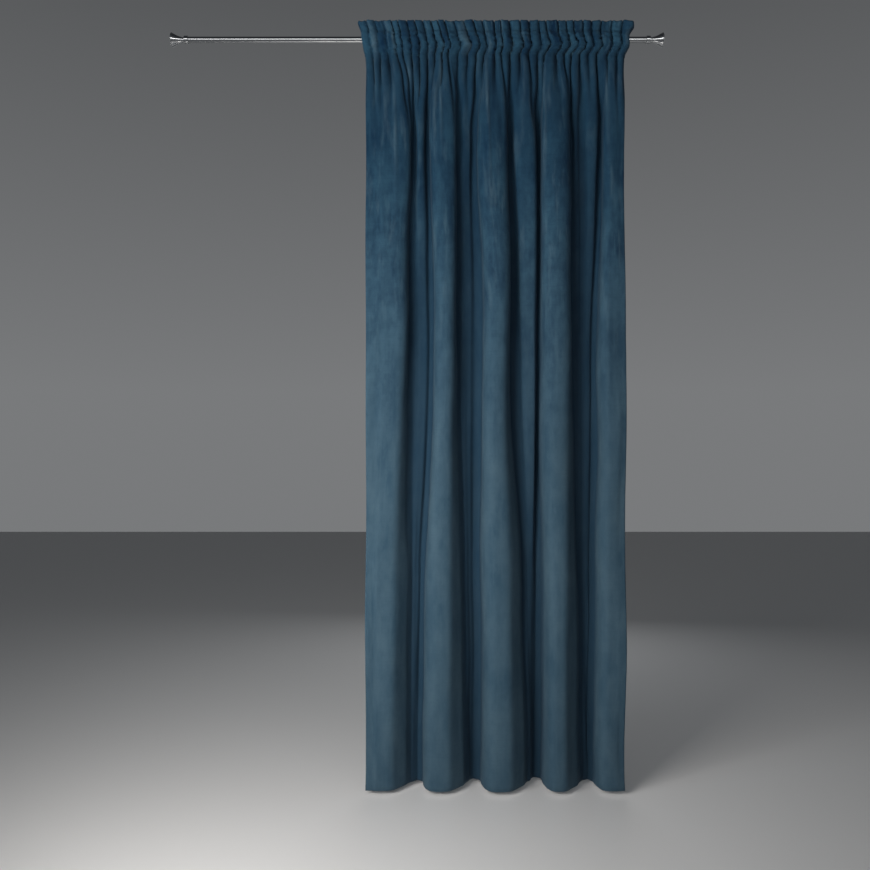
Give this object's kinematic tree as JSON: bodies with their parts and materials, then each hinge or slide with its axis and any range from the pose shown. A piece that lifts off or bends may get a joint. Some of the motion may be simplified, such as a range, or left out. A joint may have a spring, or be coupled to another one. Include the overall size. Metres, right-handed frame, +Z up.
{
  "type": "velvet curtain with rod",
  "caption": "Velvet curtain panel gathered by its rod pocket on a round polished metal rod with trumpet-shaped end pieces, hanging in soft deep folds.",
  "frame": {"origin": "on the rod's axis, halfway along the rod", "axes": "+X along the rod to the right as seen from the room, +Z up, +Y towards the wall; the curtain's face looks towards -Y"},
  "size_m": [1.7242, 0.1301, 2.6622],
  "materials": {
    "velvet": "soft blue-grey velvet with a short brushed pile",
    "polished_metal": "polished plated steel"
  },
  "bodies": {
    "root": {"velvet_panel": "velvet", "rod_tube": "polished_metal", "collar_left": "polished_metal", "collar_right": "polished_metal", "finial_left": "polished_metal", "finial_right": "polished_metal"}
  },
  "joints": []
}
